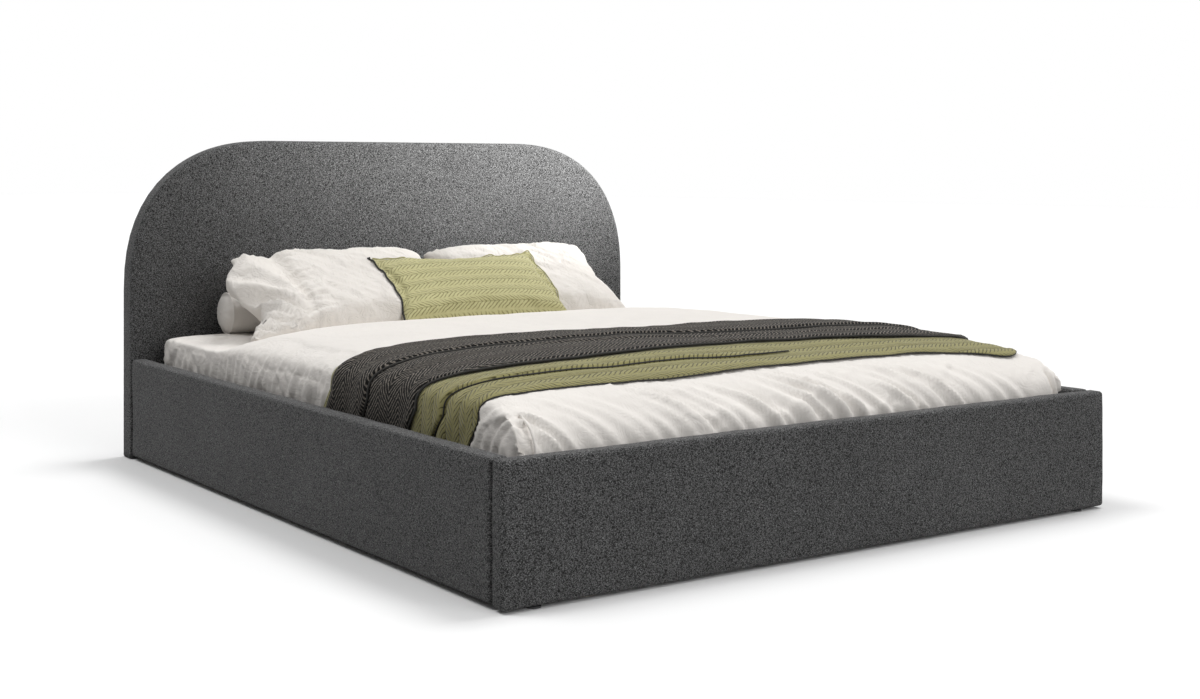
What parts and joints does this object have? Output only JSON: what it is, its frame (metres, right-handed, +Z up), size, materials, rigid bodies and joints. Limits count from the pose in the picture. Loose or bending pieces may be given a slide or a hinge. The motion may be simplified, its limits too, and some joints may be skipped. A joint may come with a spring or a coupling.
{
  "type": "upholstered storage bed",
  "caption": "Upholstered double bed with a round-shouldered headboard, closed side rails, an end-lifting slatted storage platform, mattress, duvet, throws and pillows.",
  "frame": {"origin": "on the floor under the middle of the bed", "axes": "+X across the bed, +Y toward the headboard, +Z up"},
  "size_m": [1.77, 2.15, 0.94],
  "materials": {
    "charcoal_fabric": "matte",
    "backing_cloth": "matte",
    "board": "matte",
    "foam": "matte",
    "floor_board": "matte",
    "bracket_steel": "satin",
    "zinc_steel": "satin",
    "black_plastic": "matte",
    "frame_steel": "satin",
    "beech": "satin",
    "webbing": "matte",
    "mattress_fabric": "matte",
    "white_cotton": "matte",
    "olive_quilt": "matte",
    "dark_knit": "matte",
    "strut_black": "gloss",
    "chrome_rod": "polished"
  },
  "bodies": {
    "base": {"headboard_board": "board", "headboard_foam": "foam", "headboard_cover": "charcoal_fabric", "headboard_back_panel": "backing_cloth", "left_rail_core": "board", "left_rail_cover": "charcoal_fabric", "right_rail_core": "board", "right_rail_cover": "charcoal_fabric", "footboard_core": "board", "footboard_cover": "charcoal_fabric", "left_head_bracket": "bracket_steel", "right_head_bracket": "bracket_steel", "left_foot_bracket": "bracket_steel", "right_foot_bracket": "bracket_steel", "corner_bolts": "zinc_steel", "left_ledge": "board", "right_ledge": "board", "foot_ledge": "board", "left_floor_batten": "board", "right_floor_batten": "board", "floor_joist": "board", "head_floor_panel": "floor_board", "foot_floor_panel": "floor_board", "floor_glides": "black_plastic", "left_hinge_plate": "bracket_steel", "right_hinge_plate": "bracket_steel", "left_pivot_pin": "zinc_steel", "right_pivot_pin": "zinc_steel", "hinge_plate_bolts": "zinc_steel", "lower_strut_studs": "zinc_steel"},
    "platform": {"left_side_tube": "frame_steel", "right_side_tube": "frame_steel", "head_tube": "frame_steel", "foot_tube": "frame_steel", "centre_tube": "frame_steel", "tube_end_caps": "black_plastic", "left_hinge_arm": "bracket_steel", "right_hinge_arm": "bracket_steel", "arm_bolts": "zinc_steel", "upper_strut_studs": "zinc_steel", "left_slats": "beech", "right_slats": "beech", "slat_holders": "black_plastic", "mattress_retainer": "bracket_steel", "pull_strap": "webbing", "mattress": "mattress_fabric", "duvet": "white_cotton", "olive_throw": "olive_quilt", "dark_throw": "dark_knit"},
    "left_cylinder": {"left_strut_cylinder": "strut_black"},
    "left_rod": {"left_strut_rod": "chrome_rod"},
    "right_cylinder": {"right_strut_cylinder": "strut_black"},
    "right_rod": {"right_strut_rod": "chrome_rod"},
    "pillows": {"left_pillow": "white_cotton", "right_pillow": "white_cotton", "bolster": "white_cotton", "lumbar_cushion": "olive_quilt"}
  },
  "joints": [
    {"name": "platform_lift", "type": "hinge", "parent": "base", "child": "platform", "pos_m": [0, 0.745, 0.235], "axis": [-1, 0, 0], "range_deg": [0, 36]},
    {"name": "left_strut_swing", "type": "hinge", "parent": "base", "child": "left_cylinder", "pos_m": [-0.8205, 0.735, 0.045], "axis": [-1, 0, 0], "range_deg": [0, 24.4]},
    {"name": "left_strut_slide", "type": "slide", "parent": "left_cylinder", "child": "left_rod", "axis": [0, -0.9062, 0.4229], "range_m": [0, 0.0975]},
    {"name": "right_strut_swing", "type": "hinge", "parent": "base", "child": "right_cylinder", "pos_m": [0.8205, 0.735, 0.045], "axis": [-1, 0, 0], "range_deg": [0, 24.4]},
    {"name": "right_strut_slide", "type": "slide", "parent": "right_cylinder", "child": "right_rod", "axis": [0, -0.9062, 0.4229], "range_m": [0, 0.0975]},
    {"name": "pillow_slide", "type": "slide", "parent": "platform", "child": "pillows", "axis": [0, -0.9063, 0.4226], "range_m": [0, 0.209]}
  ],
  "couplings": [
    {"joint": "left_strut_swing", "follows": "platform_lift", "ratio": 0.67268},
    {"joint": "left_strut_slide", "follows": "platform_lift", "m_per_rad": 0.15446},
    {"joint": "right_strut_swing", "follows": "platform_lift", "ratio": 0.67268},
    {"joint": "right_strut_slide", "follows": "platform_lift", "m_per_rad": 0.15446},
    {"joint": "pillow_slide", "follows": "platform_lift", "m_per_rad": 0.33}
  ]
}
